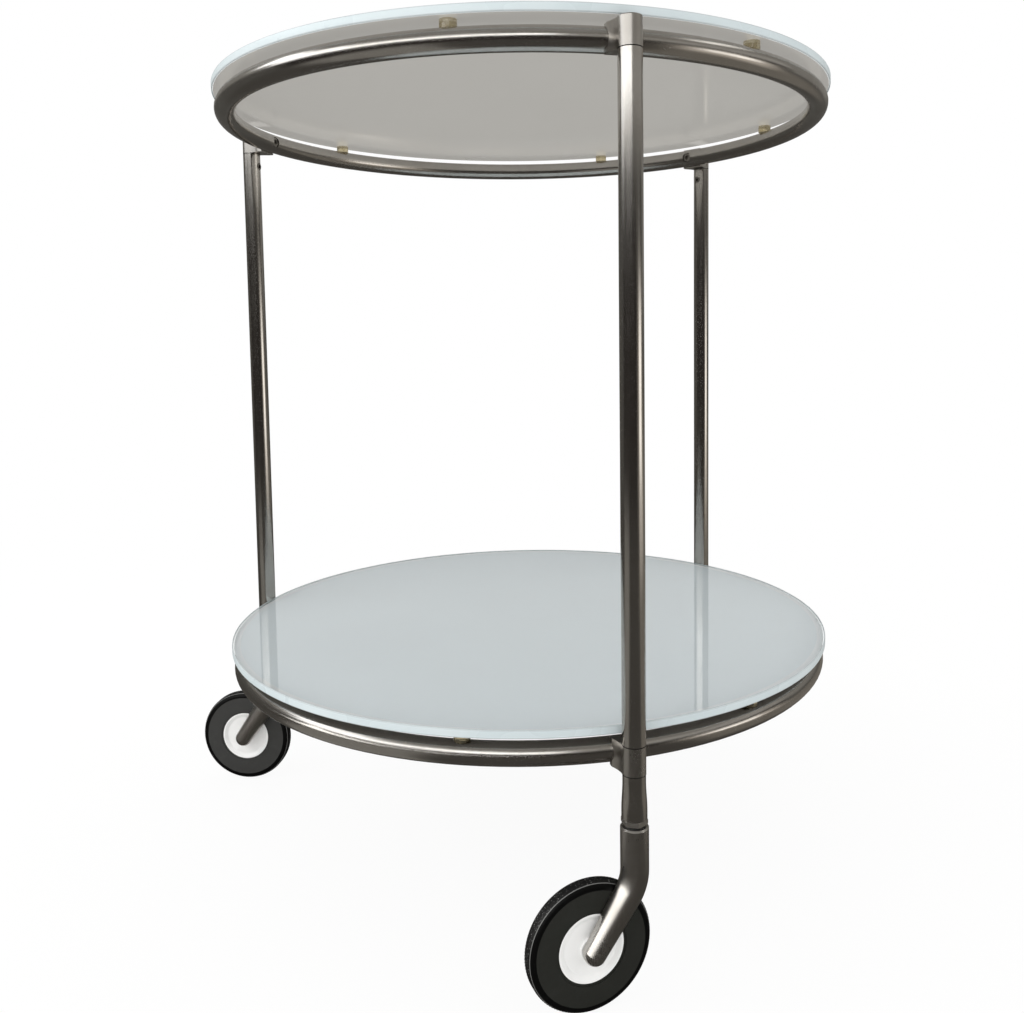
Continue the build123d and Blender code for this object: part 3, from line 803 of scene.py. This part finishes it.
def makeRoomGrey():
    # dim room with bright window panels, seen by reflections alone
    material, tree, _, where = newFinish("roomGrey")
    axes = put(tree, "SeparateXYZ", {0: where}).outputs
    azimuth = calc(tree, "ARCTAN2", axes["X"], calc(tree, "MULTIPLY", axes["Y"], -1.0))
    wrapped = calc(tree, "LESS_THAN", azimuth, math.radians(room["behind"]))
    azimuth = calc(tree, "ADD", azimuth, calc(tree, "MULTIPLY", wrapped, 2 * math.pi))
    elevation = calc(tree, "ARCSINE", calc(tree, "DIVIDE", axes["Z"], lengthOf(tree, where)))
    colour = room["floor"]
    for span, above in (("floorTo", "wall"), ("highFrom", "wallHigh"), ("ceilingFrom", "ceiling")):
        low, high = (math.radians(edge) for edge in room[span])
        colour = blendColour(tree, ramp(tree, elevation, low, high), colour, room[above])
    for panel in room["panels"].values():
        mask = calc(tree, "MULTIPLY", between(tree, azimuth, panel["azimuth"], panel["soft"]),
                    between(tree, elevation, panel["elevation"], panel["soft"]))
        colour = blendColour(tree, mask, colour, panel["colour"])
    setSurface(material, put(tree, "Emission", {"Color": colour, "Strength": 1.0}))
    return material


def hideFromLight(item):
    for ray in ("camera", "diffuse", "transmission", "volume_scatter", "shadow"):
        setattr(item, "visible_" + ray, False)


def buildRoom():
    centre, radius, pole = Vector(studio["aim"]), room["radius"], room["pole"]
    floor = room["lift"] - centre.z
    low = math.asin(floor / radius)
    rows = [(pole, floor)]
    for step in range(room["rise"] + 1):
        tilt = low + (math.pi / 2 - low) * step / room["rise"]
        rows.append((max(radius * math.cos(tilt), pole), radius * math.sin(tilt)))
    verts, faces = [], []
    for step in range(room["steps"] + 1):
        side = around(360.0 * step / room["steps"], 0.0, 1.0)
        verts += [(side.x * reach, side.y * reach, height) for reach, height in rows]
    for step in range(room["steps"]):
        for row in range(len(rows) - 1):
            first = step * len(rows) + row
            faces.append((first, first + len(rows), first + len(rows) + 1, first + 1))
    item = addMesh("reflection_room", verts, faces, makeRoomGrey())
    item.location = centre
    hideFromLight(item)


lowCard = {
    "centre": (0.0, -0.26), "height": 0.172,     # metres; under the shelf's top
    "azimuth": (-116.0, -22.0), "reach": (0.24, 1.0), "steps": 24,
    "colour": (2.7, 2.67, 2.6, 1),
}


def makeCardWhite():
    # bright on its lower side, clear from above
    material, tree, _, _ = newFinish("cardWhite")
    glow = put(tree, "Emission", {"Color": lowCard["colour"], "Strength": 1.0}).outputs[0]
    clear = put(tree, "BsdfTransparent").outputs[0]
    above = put(tree, "NewGeometry").outputs["Backfacing"]
    setSurface(material, put(tree, "MixShader", {0: above, 1: glow, 2: clear}))
    return material


def buildLowCard():
    # lights the bent arm from the side
    centre = Vector((*lowCard["centre"], lowCard["height"]))
    first, last = lowCard["azimuth"]
    verts, faces = [], []
    for step in range(lowCard["steps"] + 1):
        azimuth = first + (last - first) * step / lowCard["steps"]
        verts += [centre + around(azimuth, 0.0, reach) for reach in lowCard["reach"]]
    for step in range(lowCard["steps"]):
        faces.append((2 * step, 2 * step + 1, 2 * step + 3, 2 * step + 2))
    item = addMesh("reflection_card", verts, faces, makeCardWhite())
    if item.data.polygons[0].normal.z > 0:
        item.data.flip_normals()
    hideFromLight(item)


buildWorld()
buildFloor()
buildSoftboxes()
buildRoom()
buildLowCard()
print("studio built")

cameraView = {
    "place": (-0.20654, -0.80654, 0.42872),
    "yaw": 0.6367, "pitch": 4.3695, "roll": -0.7562,     # degrees
    "turn": 14.3639,                                     # trolley turned about its axis
    "focus": 962.744, "centre": (537.0672, 405.8757),    # pixels
    "image": (1024, 1013),
    "sensor": 36.0,                                      # millimetres
    "clip": (0.01, 50.0),
}


def buildCamera():
    yaw, pitch, roll = (math.radians(cameraView[key]) for key in ("yaw", "pitch", "roll"))
    ahead = Vector((math.sin(yaw) * math.cos(pitch), math.cos(yaw) * math.cos(pitch), -math.sin(pitch)))
    side = Vector((math.cos(yaw), -math.sin(yaw), 0.0))
    up = side.cross(ahead)
    right = math.cos(roll) * side + math.sin(roll) * up
    top = -math.sin(roll) * side + math.cos(roll) * up
    turnBack = Matrix.Rotation(math.radians(-cameraView["turn"]), 3, "Z")
    facing = Matrix((turnBack @ right, turnBack @ top, turnBack @ -ahead)).transposed()
    lens = bpy.data.cameras.new("photoCamera")
    width, height = cameraView["image"]
    lens.sensor_fit = "HORIZONTAL"
    lens.sensor_width = cameraView["sensor"]
    lens.lens = lens.sensor_width * cameraView["focus"] / width
    lens.shift_x = (width / 2 - cameraView["centre"][0]) / width
    lens.shift_y = (cameraView["centre"][1] - height / 2) / width
    lens.clip_start, lens.clip_end = cameraView["clip"]
    camera = bpy.data.objects.new("photoCamera", lens)
    camera.matrix_world = Matrix.Translation(cameraView["place"]) @ facing.to_4x4()
    bpy.context.scene.collection.objects.link(camera)
    bpy.context.scene.camera = camera


buildCamera()
bpy.context.scene.view_settings.view_transform = "Standard"
